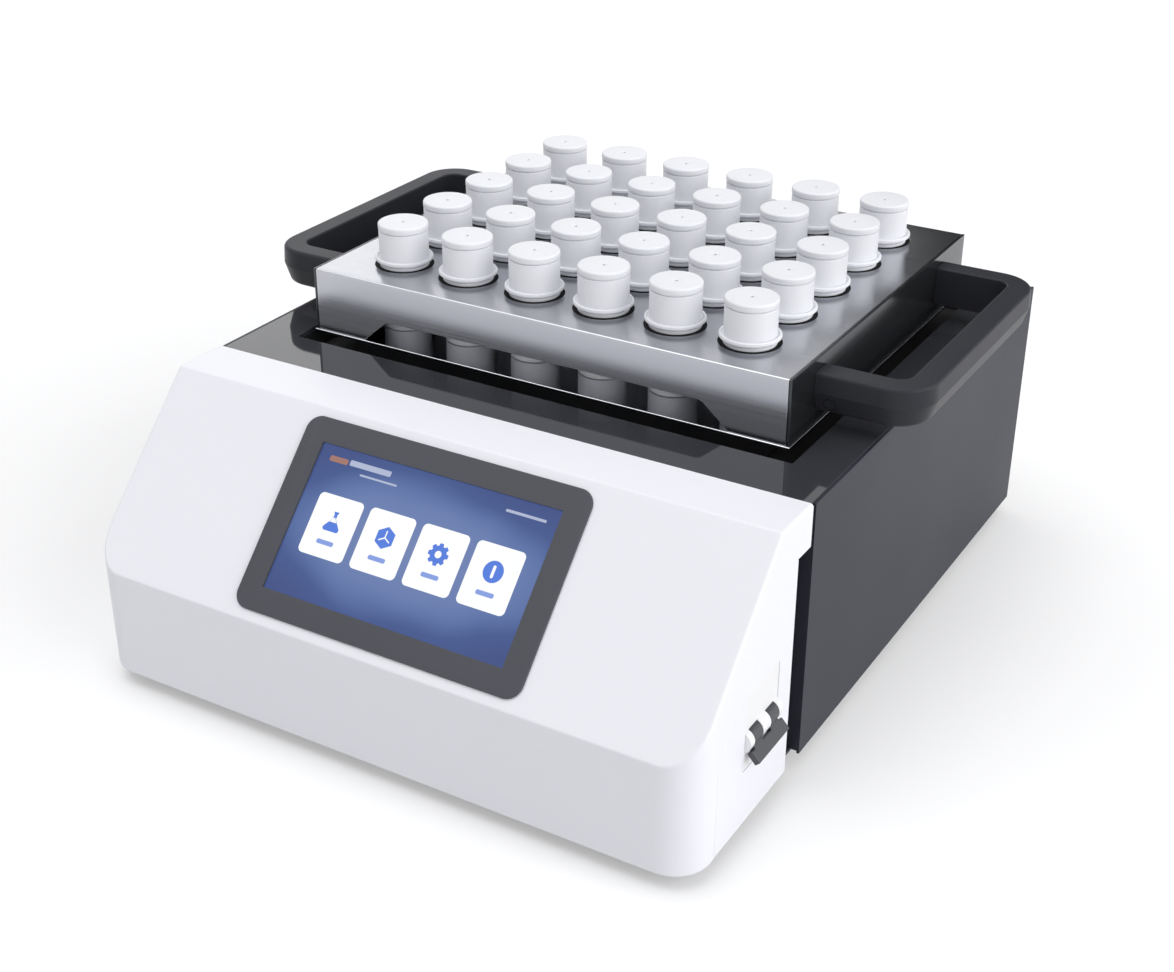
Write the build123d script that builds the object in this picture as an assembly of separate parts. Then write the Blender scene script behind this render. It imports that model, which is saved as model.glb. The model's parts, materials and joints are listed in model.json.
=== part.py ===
"""Bench-top sample digester: a white control console in front of a dark housing, a heated
graphite block under a lift-out stainless rack, and thirty capped vessels in the rack.

Millimetres. +Z is up, the console faces -Y, and the origin is on the bench under the middle
of the whole instrument. Each function makes one piece or one group of like pieces.
"""
import math
import os

from build123d import *

# Vessel grid, which sets the rack, the block and the opening in the deck
columns = 6
rows = 5
pitch_x = 46.0
side_margin = 41.5
end_margin_ratio = 35.4 / 46.5

# Overall housing
housing_width = 386.0
housing_depth = 467.5
foot_height = 10.0
deck_top_z = 164.0
deck_front_margin = 48.2
deck_rear_margin = 40.6
panel_sheet = 1.5
base_sheet = 2.0
deck_sheet = 4.0
rear_recess = 3.0
fit_gap = 0.3

# Console: top band, slope and upright front
console_top_step = 1.5
console_depth = 121.9
top_band_depth = 34.6
crease_height = 75.0
console_wall = 3.0
console_side_wall = 5.0
console_corner_radius = 20.5
console_edge_radius = 2.0
side_band = 24.5
cheek_sheet = 3.0
cheek_seat_width = 4.0
cheek_corner_radius = 12.0
cheek_rear_inset = 14.4
cheek_return_depth = 12.0
groove_depth = 12.5
panel_front_inset = 3.6
deck_lip_depth = 12.0
deck_lip_sheet = 2.7

# Rack
rack_seat_gap = 0.3
rack_height = 40.4
rack_sheet = 1.5
rack_fold_radius = 1.2
rack_edge_radius = 0.4
rack_seam = 0.3
lower_plate_sheet = 2.0
lower_plate_outset = 1.0
rack_hole_diameter = 35.5
window_width_bottom = 242.0
window_width_top = 208.0
window_height = 14.5
window_corner_radius = 6.0

# Carrying handles on the rack's ends
handle_reach = 61.1
handle_length = 195.0
handle_drop = 7.4
handle_height = 23.5
handle_lower_height = 12.0
handle_width = 15.0
handle_outer_radius = 23.4
handle_upper_taper = 3.0
handle_lower_taper = 17.0
handle_top_radius = 2.5
handle_bottom_radius = 3.0
handle_gap_radius = 1.2
handle_overlap = 30.0
handle_plug_diameter = 8.0
handle_plug_groove = 0.6
handle_plug_inset = 8.3
handle_plug_drop = 6.5
handle_screw_diameter = 5.0
handle_screw_length = 16.0
handle_screw_hole_depth = 18.0
handle_screw_head_diameter = 9.0
handle_screw_head_height = 2.8

# Vessels
neck_diameter = 29.6
body_diameter = 28.8
foot_diameter = 27.0
vessel_bore = 22.0
vessel_floor = 4.0
vessel_depth_in_block = 60.0
flange_diameter = 34.7
flange_under_height = 3.5
flange_rim = 1.3
flange_slope = 1.5
neck_top_height = 21.6
lid_diameter = 30.0
lid_thickness = 4.2
lid_edge_radius = 1.6
lid_plug_length = 6.0
vent_diameter = 1.2
vent_dish_diameter = 5.0
vent_dish_depth = 0.4
vessel_clearance = 0.3
vessel_foot_radius = 3.0

# Heating
block_height = 70.0
block_rise = 0.7
well_clearance = 0.5
well_floor_gap = 2.0
heater_thickness = 10.0
heater_groove_width = 8.0
heater_groove_depth = 4.0
heater_groove_count = 6
insulation_floor = 33.0
insulation_top_gap = 10.0
opening_side_gap = 7.5
opening_end_gap = 10.6
tub_sheet = 1.2
tub_flange = 10.0
tub_leg_size = 14.0
probe_diameter = 4.0
probe_above_heater = 4.0
probe_clearance = 0.2
probe_in_block = 40.0
probe_head_diameter = 9.0
probe_head_length = 8.0

# Display on the slope
bezel_width = 183.0
bezel_height = 114.0
bezel_radius = 9.0
bezel_thickness = 1.5
bezel_edge_radius = 0.6
screen_width = 154.1
screen_height = 85.9
module_width = 165.0
module_height = 100.0
module_depth = 6.0
module_clearance = 0.5
board_width = 150.0
board_height = 92.0
board_sheet = 1.6
standoff_length = 8.0
standoff_diameter = 5.0
standoff_inset = 5.0
board_parts = [
    (-40, 15, 22, 22, 3),
    (0, 20, 14, 10, 3),
    (35, -10, 18, 28, 9),
    (-45, -22, 30, 12, 10),
    (5, -25, 16, 16, 7),
]

# Two-pole circuit breaker in the right cheek
breaker_width = 37.6
breaker_nose_height = 45.0
breaker_clearance = 0.2
breaker_case_height = 82.0
breaker_case_depth = 52.0
breaker_nose_depth = 18.0
breaker_centre_z = 66.15
breaker_front_gap = 54.7
breaker_recess = 0.5
roller_radius = 6.3
roller_width = 9.1
roller_spacing = 18.8
roller_clearance = 0.4
roller_inset = 2.9
roller_drop = 5.15
toggle_axle_radius = 2.0
toggle_axle_clearance = 0.05
toggle_axle_overhang = 3.0
toggle_rest_angle = -48.2
toggle_bar_reach = 14.7
toggle_bar_length = 35.2
toggle_bar_width = 7.2
toggle_bar_thickness = 3.6
toggle_bar_radius = 0.6
rail_thickness = 1.5
rail_height = 35.0

# Rear panel, fan and mains inlet
fan_size = 60.0
fan_depth = 20.0
fan_duct_diameter = 56.0
fan_wall_gap = 1.0
fan_hub_diameter = 24.0
fan_hub_length = 14.0
fan_axle_radius = 1.5
fan_axle_clearance = 0.05
fan_blade_count = 7
fan_blade_sheet = 1.4
fan_blade_pitch = 38.0
fan_strut_sheet = 2.5
fan_strut_width = 4.0
fan_x = -110.0
fan_z = 60.0
guard_hole_diameter = 5.0
guard_hole_pitch = 6.6
vent_slot_length = 36.0
vent_slot_width = 3.0
vent_slot_pitch = 8.0
vent_slot_count = 9
vent_centre_z = 118.0
vent_centre_x = 95.0
inlet_x = 120.0
inlet_z = 50.0
inlet_width = 27.0
inlet_height = 20.0
inlet_depth = 20.0
inlet_wall = 1.8
inlet_cavity_depth = 16.5
inlet_flange_width = 50.0
inlet_flange_height = 22.5
inlet_flange_sheet = 2.0
inlet_flange_radius = 3.0
inlet_chamfer = 4.0
inlet_screw_spacing = 40.0
inlet_pin_size = (2.0, 4.0)
inlet_pin_length = 10.0
inlet_pin_spacing = 7.0
inlet_pin_stagger = 2.1

# Small parts
screw_radius = 1.5
screw_head_radius = 2.8
screw_head_height = 1.6
screw_head_clearance = 0.2
screw_slot_width = 0.7
screw_hole_gap = 0.2
screw_length = 8.0
rear_screw_z = (28.0, 86.0, 142.0)
flange_depth = 12.0
foot_top_diameter = 22.0
foot_bottom_diameter = 18.0
foot_inset_x = 45.0
foot_inset_y = 50.0
foot_screw_length = 9.0
relay_size = (58.0, 45.0, 24.0)
relay_x = 70.0
relay_y = 90.0
relay_margin = 2.0
sink_base = 4.0
fin_count = 9
fin_sheet = 1.2
fin_height = 6.0

# Derived places
half_width = housing_width / 2
half_depth = housing_depth / 2
base_z = foot_height
console_top_z = deck_top_z + console_top_step
console_front_y = -half_depth
console_rear_y = console_front_y + console_depth
bend_y = console_rear_y - top_band_depth
slope_run = bend_y - console_front_y
slope_rise = console_top_z - crease_height
slope_angle = math.degrees(math.atan2(slope_rise, slope_run))
cheek_rear_y = console_rear_y - cheek_rear_inset
panel_front_y = console_rear_y + panel_front_inset
panel_inner_x = half_width - panel_sheet
rear_panel_y = half_depth - rear_recess - panel_sheet
deck_bottom_z = deck_top_z - deck_sheet
panel_top_z = deck_top_z - fit_gap
ledge_top_z = deck_bottom_z - fit_gap
rack_width = (columns - 1) * pitch_x + 2 * side_margin
rack_depth = housing_depth - console_depth - deck_front_margin - deck_rear_margin
rack_centre_y = console_rear_y + deck_front_margin + rack_depth / 2
pitch_y = rack_depth / (rows - 1 + 2 * end_margin_ratio)
block_top_z = deck_top_z + block_rise
rack_bottom_z = block_top_z + rack_seat_gap
rack_top_z = rack_bottom_z + rack_height
shoulder_z = rack_bottom_z + lower_plate_sheet + vessel_clearance
opening_half_x = rack_width / 2 + opening_side_gap
opening_half_y = rack_depth / 2 + opening_end_gap
block_bottom_z = block_top_z - block_height
heater_bottom_z = block_bottom_z - heater_thickness
tub_floor_z = heater_bottom_z - insulation_floor
rack_half_x = rack_width / 2
rack_half_y = rack_depth / 2
probe_x = pitch_x
probe_z = block_bottom_z + probe_above_heater
breaker_centre_y = console_front_y + breaker_front_gap + breaker_width / 2
breaker_face_x = half_width - breaker_recess
breaker_body_x = breaker_face_x - breaker_nose_depth
breaker_back_x = breaker_body_x - breaker_case_depth
roller_x = half_width - roller_inset
roller_z = breaker_centre_z - roller_drop
toggle_axle_half = roller_spacing / 2 + roller_width / 2 + toggle_axle_overhang
handle_top_z = rack_top_z - handle_drop
handle_bottom_z = handle_top_z - handle_height
handle_crease_z = handle_bottom_z + handle_lower_height
slope_plane = Plane(
    origin=(0, (bend_y + console_front_y) / 2, (console_top_z + crease_height) / 2),
    x_dir=(1, 0, 0),
    z_dir=(0, -math.sin(math.radians(slope_angle)), math.cos(math.radians(slope_angle))),
)
low_corner = (Align.MIN, Align.MIN, Align.MIN)
on_floor = (Align.CENTER, Align.CENTER, Align.MIN)
under_plane = (Align.CENTER, Align.CENTER, Align.MAX)


def span_box(low, high):
    """A box between its lowest and its highest corner."""
    return Pos(*low) * Box(high[0] - low[0], high[1] - low[1], high[2] - low[2], align=low_corner)


def along_x(radius, x_low, x_high, y, z):
    """A round bar along X."""
    bar = Cylinder(radius, x_high - x_low, align=on_floor)
    return Pos(x_low, y, z) * Rot(0, 90, 0) * bar


def along_y(radius, y_low, y_high, x, z):
    """A round bar along Y."""
    bar = Cylinder(radius, y_high - y_low, align=on_floor)
    return Pos(x, y_low, z) * Rot(-90, 0, 0) * bar


def upright(radius, z_low, z_high, x, y):
    """A round bar along Z."""
    return Pos(x, y, z_low) * Cylinder(radius, z_high - z_low, align=on_floor)


def grid_points():
    """The vessel centres, row by row from the front left."""
    first_x = -(columns - 1) * pitch_x / 2
    first_y = rack_centre_y - (rows - 1) * pitch_y / 2
    return [
        (row, column, first_x + column * pitch_x, first_y + row * pitch_y)
        for row in range(rows)
        for column in range(columns)
    ]


def side_plate(points, x_low, x_high, radius=0.0, rounded=()):
    """A plate square to X from (y, z) points, with the numbered corners rounded."""
    face = make_face(Polyline(*points, close=True))
    if radius:
        corners = [
            vertex
            for vertex in face.vertices()
            if any(math.dist((vertex.X, vertex.Y), points[index]) < 0.01 for index in rounded)
        ]
        face = fillet(corners, radius)
    return extrude(Plane.YZ.offset(x_low) * face, amount=x_high - x_low)


def console_outline(inset, rear_y, bottom_z):
    """The console's side view, moved in by one distance from the top, slope and front."""
    bend_shift = inset * math.tan(math.radians(slope_angle / 2))
    crease_shift = inset * math.tan(math.radians((90 - slope_angle) / 2))
    return [
        (rear_y, console_top_z - inset),
        (bend_y + bend_shift, console_top_z - inset),
        (console_front_y + inset, crease_height - crease_shift),
        (console_front_y + inset, bottom_z),
        (rear_y, bottom_z),
    ]


def console_solid(inset, side_inset, rear_y, bottom_z):
    """The console's outer form, or its hollow, with rounded upright front corners."""
    half_x = half_width - side_inset
    profile = side_plate(console_outline(inset, rear_y, bottom_z), -half_x, half_x)
    plan = Rectangle(2 * half_x, console_depth * 2, align=(Align.CENTER, Align.MIN))
    front_corners = plan.vertices().sort_by(Axis.Y)[:2]
    plan = fillet(front_corners, console_corner_radius - side_inset)
    column = extrude(Pos(0, console_front_y + inset, bottom_z) * plan, amount=console_top_z)
    return profile & column


def console_shell():
    """White cover: top band, slope, front and the bands that frame the two cheeks."""
    outer = console_solid(0, 0, console_rear_y, base_z)
    soft_edges = [
        edge
        for edge in outer.edges()
        if edge.center().Z > crease_height - 1 and edge.center().Y < console_rear_y - 0.5
    ]
    outer = fillet(soft_edges, console_edge_radius)
    hollow_rear = console_rear_y - console_wall
    hollow = console_solid(console_wall, console_side_wall, hollow_rear, base_z - 1)
    below_lip = span_box(
        (-half_width + console_side_wall, hollow_rear - 1, base_z - 1),
        (half_width - console_side_wall, console_rear_y + 1, ledge_top_z - deck_lip_sheet),
    )
    lip_half = half_width - console_side_wall - groove_depth
    lip = span_box(
        (-lip_half, hollow_rear, ledge_top_z - deck_lip_sheet),
        (lip_half, console_rear_y + deck_lip_depth, ledge_top_z),
    )
    shell = outer - hollow - below_lip + lip
    for side in (-1, 1):
        shell -= cheek_pocket(side)
    cut_width = module_width + 2 * module_clearance
    cut_height = module_height + 2 * module_clearance
    return shell - slope_plane * Box(cut_width, cut_height, 4 * console_wall)


def mirrored_plate(points, side, x_low, x_high, radius=0.0, rounded=()):
    """A side plate between two distances from the middle, on the chosen side."""
    near, far = sorted((side * x_low, side * x_high))
    return side_plate(points, near, far, radius, rounded)


def cheek_pocket(side):
    """The recess that takes a cheek, its way through and the open groove behind it."""
    past_rear = console_rear_y + 1
    below = base_z - 1
    seat_x = half_width - cheek_sheet
    through_x = half_width - console_side_wall - 1
    edge = console_outline(side_band, past_rear, below)
    inner_edge = console_outline(side_band + cheek_seat_width, past_rear, below)
    recess = mirrored_plate(edge, side, seat_x, half_width + 1, cheek_corner_radius, (1, 2))
    inner_radius = cheek_corner_radius - cheek_seat_width
    window = mirrored_plate(inner_edge, side, through_x, half_width + 1, inner_radius, (1, 2))
    groove = [
        (cheek_rear_y - cheek_sheet, below),
        (past_rear, below),
        (past_rear, console_top_z - side_band),
        (cheek_rear_y - cheek_sheet, console_top_z - side_band),
    ]
    return recess + window + mirrored_plate(groove, side, through_x, half_width + 1)


def console_cheek(side):
    """A flush white side cover with a folded rear edge; the right one has the breaker's hole."""
    edge = console_outline(side_band + fit_gap, cheek_rear_y, base_z)
    seat_x = half_width - cheek_sheet
    radius = cheek_corner_radius - fit_gap
    cheek = mirrored_plate(edge, side, seat_x, half_width, radius, (1, 2))
    top_z = console_top_z - side_band - cheek_seat_width
    bottom_z = base_z + base_sheet + fit_gap
    folded_edge = [
        (cheek_rear_y - cheek_sheet, bottom_z),
        (cheek_rear_y, bottom_z),
        (cheek_rear_y, top_z),
        (cheek_rear_y - cheek_sheet, top_z),
    ]
    cheek += mirrored_plate(folded_edge, side, seat_x - cheek_return_depth, seat_x)
    if side > 0:
        cheek -= breaker_block(half_width + 1, seat_x - 1, breaker_nose_height, breaker_clearance)
    return cheek


def breaker_block(x_high, x_low, height, clearance=0.0):
    """A box on the breaker's centre line, between two distances from the middle."""
    y_low = console_front_y + breaker_front_gap - clearance
    y_high = console_front_y + breaker_front_gap + breaker_width + clearance
    z_half = height / 2 + clearance
    return span_box(
        (x_low, y_low, breaker_centre_z - z_half), (x_high, y_high, breaker_centre_z + z_half)
    )


def breaker_case():
    """White two-pole case with a nose in the cheek's hole and a round rib beside each roller."""
    nose = breaker_block(breaker_face_x, breaker_body_x, breaker_nose_height)
    body = breaker_block(breaker_body_x, breaker_back_x, breaker_case_height)
    rib_half = breaker_width / 2
    ribs = along_y(
        roller_radius, breaker_centre_y - rib_half, breaker_centre_y + rib_half, roller_x, roller_z
    )
    case = nose + body + ribs
    for sign in (-1, 1):
        y_mid = breaker_centre_y + sign * roller_spacing / 2
        half = roller_width / 2 + roller_clearance
        case -= along_y(roller_radius + roller_clearance, y_mid - half, y_mid + half, roller_x, roller_z)
    axle_radius = toggle_axle_radius + toggle_axle_clearance
    axle_half = toggle_axle_half + roller_clearance
    case -= along_y(
        axle_radius,
        breaker_centre_y - axle_half,
        breaker_centre_y + axle_half,
        roller_x,
        roller_z,
    )
    rail_slot = span_box(
        (breaker_back_x - 1, breaker_centre_y - breaker_width, base_z),
        (
            breaker_back_x + rail_thickness,
            breaker_centre_y + breaker_width,
            breaker_centre_z + rail_height / 2 + fit_gap,
        ),
    )
    return case - rail_slot


def breaker_toggle():
    """Two dark rollers on one axle with arms to the flat bar that links both poles."""
    toggle = along_y(
        toggle_axle_radius,
        breaker_centre_y - toggle_axle_half,
        breaker_centre_y + toggle_axle_half,
        roller_x,
        roller_z,
    )
    outward = (Align.MIN, Align.CENTER, Align.CENTER)
    turn = Rot(0, -toggle_rest_angle, 0)
    inner_reach = toggle_bar_reach - toggle_bar_width
    for sign in (-1, 1):
        y_mid = breaker_centre_y + sign * roller_spacing / 2
        half = roller_width / 2
        toggle += along_y(roller_radius, y_mid - half, y_mid + half, roller_x, roller_z)
        arm = Box(inner_reach + 1, roller_width, toggle_bar_thickness, align=outward)
        toggle += Pos(roller_x, y_mid, roller_z) * turn * arm
    bar = Box(toggle_bar_width, toggle_bar_length, toggle_bar_thickness, align=outward)
    bar = fillet(bar.edges(), toggle_bar_radius)
    return toggle + Pos(roller_x, breaker_centre_y, roller_z) * turn * Pos(inner_reach, 0, 0) * bar


def display_bezel():
    """Dark flat frame that lies on the slope round the screen."""
    plate = RectangleRounded(bezel_width, bezel_height, bezel_radius)
    frame = extrude(slope_plane * plate, amount=bezel_thickness)
    front_face = frame.faces().sort_by(Axis.Z)[-1]
    frame = fillet(front_face.edges(), bezel_edge_radius)
    return frame - slope_plane * Box(screen_width, screen_height, 4 * bezel_thickness)


def display_panel():
    """Screen module behind the bezel, through the cut-out in the slope."""
    module = Box(module_width, module_height, module_depth, align=under_plane)
    return slope_plane * module


def control_board():
    """Circuit board on four stand-offs behind the screen, and the relay on its heat sink."""
    board_z = -module_depth - standoff_length
    board = Box(board_width, board_height, board_sheet, align=on_floor)
    pieces = [Pos(0, 0, board_z - board_sheet) * board]
    for x in (-1, 1):
        for y in (-1, 1):
            corner_x = x * (board_width / 2 - standoff_inset)
            corner_y = y * (board_height / 2 - standoff_inset)
            place = Pos(corner_x, corner_y, board_z)
            pieces.append(place * Cylinder(standoff_diameter / 2, standoff_length, align=on_floor))
    for x, y, size_x, size_y, height in board_parts:
        part = Box(size_x, size_y, height, align=under_plane)
        pieces.append(Pos(x, y, board_z - board_sheet) * part)
    pieces = [slope_plane * piece for piece in pieces]
    return pieces + relay()


def relay():
    """Solid-state relay on a finned sink that stands on the base."""
    floor_z = base_z + base_sheet
    width, depth, height = relay_size
    sink = span_box(
        (relay_x - width / 2, relay_y - depth / 2, floor_z + fin_height),
        (relay_x + width / 2, relay_y + depth / 2, floor_z + fin_height + sink_base),
    )
    step = (width - fin_sheet) / (fin_count - 1)
    for index in range(fin_count):
        left = relay_x - width / 2 + index * step
        sink += span_box(
            (left, relay_y - depth / 2, floor_z),
            (left + fin_sheet, relay_y + depth / 2, floor_z + fin_height),
        )
    body_z = floor_z + fin_height + sink_base
    body = span_box(
        (relay_x - width / 2 + relay_margin, relay_y - depth / 2 + relay_margin, body_z),
        (relay_x + width / 2 - relay_margin, relay_y + depth / 2 - relay_margin, body_z + height),
    )
    return [sink, body]


def base_pan():
    """Floor of the housing with turned-up sides and the rail that the breaker clips on."""
    front_half = half_width - console_side_wall - fit_gap
    rear_half = panel_inner_x - fit_gap
    front_y = console_front_y + console_wall + fit_gap
    rear_y = rear_panel_y - fit_gap
    step_y = panel_front_y + panel_sheet + fit_gap
    front = Rectangle(2 * front_half, step_y - front_y, align=(Align.CENTER, Align.MIN))
    corner_radius = console_corner_radius - console_side_wall
    front = fillet(front.vertices().sort_by(Axis.Y)[:2], corner_radius)
    floor = extrude(Pos(0, front_y, base_z) * front, amount=base_sheet)
    floor += span_box((-rear_half, step_y, base_z), (rear_half, rear_y, base_z + base_sheet))
    for side in (-1, 1):
        near, far = sorted((side * rear_half, side * (rear_half - base_sheet)))
        flange_rear = rear_panel_y - panel_sheet - fit_gap
        floor += span_box((near, step_y, base_z), (far, flange_rear, base_z + flange_depth))
    for x, y in foot_places():
        floor -= upright(screw_radius + screw_hole_gap, base_z - 1, base_z + base_sheet + 1, x, y)
    rail_y = (breaker_centre_y - breaker_width / 2, breaker_centre_y + breaker_width / 2)
    rail_top = breaker_centre_z + rail_height / 2
    rail_x = breaker_back_x
    floor += span_box((rail_x, rail_y[0], base_z), (rail_x + rail_thickness, rail_y[1], rail_top))
    return floor


def top_deck():
    """Glossy dark deck round the opening that the rack stands in."""
    half_x = panel_inner_x - fit_gap
    deck = span_box(
        (-half_x, console_rear_y + fit_gap, deck_bottom_z), (half_x, half_depth, deck_top_z)
    )
    return deck - span_box(
        (-opening_half_x, rack_centre_y - opening_half_y, deck_bottom_z - 1),
        (opening_half_x, rack_centre_y + opening_half_y, deck_top_z + 1),
    )


def side_panel(side):
    """Dark side sheet: joggled front edge, rear return and the ledge under the deck."""
    inner = panel_inner_x
    deep = half_width - groove_depth

    def strip(x_a, x_b, y_a, y_b, z_a, z_b):
        near, far = sorted((side * x_a, side * x_b))
        return span_box((near, y_a, z_a), (far, y_b, z_b))

    panel = strip(inner, half_width, panel_front_y, half_depth, base_z, panel_top_z)
    step_rear = panel_front_y + panel_sheet
    groove_top = console_top_z - side_band
    above_base = base_z + base_sheet + fit_gap
    panel += strip(deep, inner, panel_front_y, step_rear, above_base, groove_top)
    floor_front = cheek_rear_y + fit_gap
    panel += strip(deep, deep + panel_sheet, floor_front, step_rear, above_base, groove_top)
    ledge_front = console_rear_y + deck_lip_depth + fit_gap
    ledge_bottom = ledge_top_z - panel_sheet
    ledge_depth = inner - flange_depth
    rear_y = rear_panel_y
    panel += strip(ledge_depth, inner, ledge_front, rear_y, ledge_bottom, ledge_top_z)
    panel += strip(ledge_depth, inner, rear_y - panel_sheet, rear_y, above_base, ledge_top_z)
    for z in rear_screw_z:
        screw_x = side * (panel_inner_x - flange_depth / 2)
        panel -= along_y(screw_radius + screw_hole_gap, rear_y - 2 * panel_sheet, rear_y + 1, screw_x, z)
    return panel


def rear_panel():
    """Recessed back sheet with vent slots, the fan's guard holes and the inlet's hole."""
    half_x = panel_inner_x - fit_gap
    outer_y = rear_panel_y + panel_sheet
    panel = span_box((-half_x, rear_panel_y, base_z), (half_x, outer_y, ledge_top_z))
    cuts = []
    for x_mid in (-vent_centre_x, vent_centre_x):
        for index in range(vent_slot_count):
            x = x_mid + (index - (vent_slot_count - 1) / 2) * vent_slot_pitch
            slot = SlotOverall(vent_slot_length, vent_slot_width, rotation=90)
            place = Plane(origin=(x, outer_y + 1, vent_centre_z), x_dir=(-1, 0, 0), z_dir=(0, 1, 0))
            cuts.append(extrude(place * slot, amount=-panel_sheet - 2))
    reach = fan_duct_diameter / 2 - guard_hole_diameter / 2
    steps = int(reach / guard_hole_pitch) + 1
    for column in range(-steps, steps + 1):
        for row in range(-steps, steps + 1):
            x = (column + (row % 2) / 2) * guard_hole_pitch
            z = row * guard_hole_pitch * math.sin(math.radians(60))
            if math.hypot(x, z) <= reach:
                radius = guard_hole_diameter / 2
                cuts.append(along_y(radius, rear_panel_y - 1, outer_y + 1, fan_x + x, fan_z + z))
    half_w = inlet_width / 2 + fit_gap
    half_h = inlet_height / 2 + fit_gap
    cuts.append(
        span_box(
            (inlet_x - half_w, rear_panel_y - 1, inlet_z - half_h),
            (inlet_x + half_w, outer_y + 1, inlet_z + half_h),
        )
    )
    for x, z in rear_screw_places() + inlet_screw_places():
        cuts.append(along_y(screw_radius + screw_hole_gap, rear_panel_y - 1, outer_y + 1, x, z))
    return panel - cuts


def rear_screw_places():
    """Screws that hold the rear panel to the side panels' returns."""
    screw_x = panel_inner_x - flange_depth / 2
    return [(side * screw_x, z) for side in (-1, 1) for z in rear_screw_z]


def inlet_screw_places():
    """The two screws of the mains inlet."""
    return [(inlet_x + side * inlet_screw_spacing / 2, inlet_z) for side in (-1, 1)]


def foot_places():
    """The feet, set in from the corners of the base."""
    x = half_width - foot_inset_x
    y = half_depth - foot_inset_y
    return [(sign_x * x, sign_y * y) for sign_x in (-1, 1) for sign_y in (-1, 1)]


def housing_screws():
    """Pan-head screws of the rear panel and the inlet."""
    outer_y = rear_panel_y + panel_sheet
    screws = []
    for places, seat_y in (
        (rear_screw_places(), outer_y),
        (inlet_screw_places(), outer_y + inlet_flange_sheet),
    ):
        for x, z in places:
            screw = along_y(screw_radius, seat_y - screw_length, seat_y, x, z)
            head_height = min(screw_head_height, half_depth - seat_y - screw_head_clearance)
            head = along_y(screw_head_radius, seat_y, seat_y + head_height, x, z)
            slot = span_box(
                (x - screw_head_radius, seat_y + head_height / 2, z - screw_slot_width / 2),
                (x + screw_head_radius, seat_y + head_height + 1, z + screw_slot_width / 2),
            )
            screws.append(screw + head - slot)
    return screws


def well_tub():
    """Steel tub that hangs under the deck and holds the insulation, heater and block."""
    inner_x = opening_half_x
    inner_y = opening_half_y
    outer_x = inner_x + tub_sheet
    outer_y = inner_y + tub_sheet
    y = rack_centre_y
    bottom = tub_floor_z - tub_sheet
    tub = span_box((-outer_x, y - outer_y, bottom), (outer_x, y + outer_y, ledge_top_z))
    flange = span_box(
        (-outer_x - tub_flange, y - outer_y - tub_flange, ledge_top_z - tub_sheet),
        (outer_x + tub_flange, y + outer_y + tub_flange, ledge_top_z),
    )
    tub += flange
    tub -= span_box((-inner_x, y - inner_y, tub_floor_z), (inner_x, y + inner_y, ledge_top_z + 1))
    for sign_x in (-1, 1):
        for sign_y in (-1, 1):
            x = sign_x * (outer_x - tub_leg_size / 2)
            leg_y = y + sign_y * (outer_y - tub_leg_size / 2)
            leg = Box(tub_leg_size, tub_leg_size, bottom - base_z - base_sheet, align=on_floor)
            tub += Pos(x, leg_y, base_z + base_sheet) * leg
    return tub - probe_bar(probe_clearance)


def probe_bar(clearance=0.0):
    """The probe's stem from the block to the front of the tub."""
    block_front = rack_centre_y - block_half_y()
    tub_front = rack_centre_y - opening_half_y - tub_sheet
    stem_radius = probe_diameter / 2 + clearance
    return along_y(
        stem_radius, tub_front - probe_head_length, block_front + probe_in_block, probe_x, probe_z
    )


def block_half_x():
    """Half the block's width: the grid and half a pitch each side."""
    return columns * pitch_x / 2


def block_half_y():
    """Half the block's depth."""
    return rows * pitch_y / 2


def graphite_block():
    """Dark block with a blind well for each vessel and a hole for the probe."""
    block = span_box(
        (-block_half_x(), rack_centre_y - block_half_y(), block_bottom_z),
        (block_half_x(), rack_centre_y + block_half_y(), block_top_z),
    )
    well_radius = foot_diameter / 2 + well_clearance
    well_floor = block_top_z - vessel_depth_in_block - well_floor_gap
    wells = [upright(well_radius, well_floor, block_top_z + 1, x, y) for _, _, x, y in grid_points()]
    return block - wells - probe_bar(probe_clearance)


def heater_plate():
    """Grooved heater plate under the block."""
    plate = span_box(
        (-block_half_x(), rack_centre_y - block_half_y(), heater_bottom_z),
        (block_half_x(), rack_centre_y + block_half_y(), block_bottom_z),
    )
    step = 2 * block_half_y() / heater_groove_count
    for index in range(heater_groove_count):
        y = rack_centre_y - block_half_y() + (index + 0.5) * step
        plate -= span_box(
            (-block_half_x() - 1, y - heater_groove_width / 2, heater_bottom_z - 1),
            (block_half_x() + 1, y + heater_groove_width / 2, heater_bottom_z + heater_groove_depth),
        )
    return plate


def insulation():
    """Insulation that fills the tub round and under the block."""
    outer_x = opening_half_x - fit_gap
    outer_y = opening_half_y - fit_gap
    y = rack_centre_y
    felt = span_box(
        (-outer_x, y - outer_y, tub_floor_z), (outer_x, y + outer_y, deck_bottom_z - insulation_top_gap)
    )
    felt -= span_box(
        (-block_half_x() - fit_gap, y - block_half_y() - fit_gap, heater_bottom_z),
        (block_half_x() + fit_gap, y + block_half_y() + fit_gap, block_top_z),
    )
    return felt - probe_bar(probe_clearance)


def temperature_probe():
    """Stem in the block with its hexagon head in front of the tub."""
    tub_front = rack_centre_y - opening_half_y - tub_sheet
    head = RegularPolygon(probe_head_diameter / 2, 6)
    place = Plane(origin=(probe_x, tub_front, probe_z), x_dir=(1, 0, 0), z_dir=(0, -1, 0))
    return probe_bar() + extrude(place * head, amount=probe_head_length)


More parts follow.
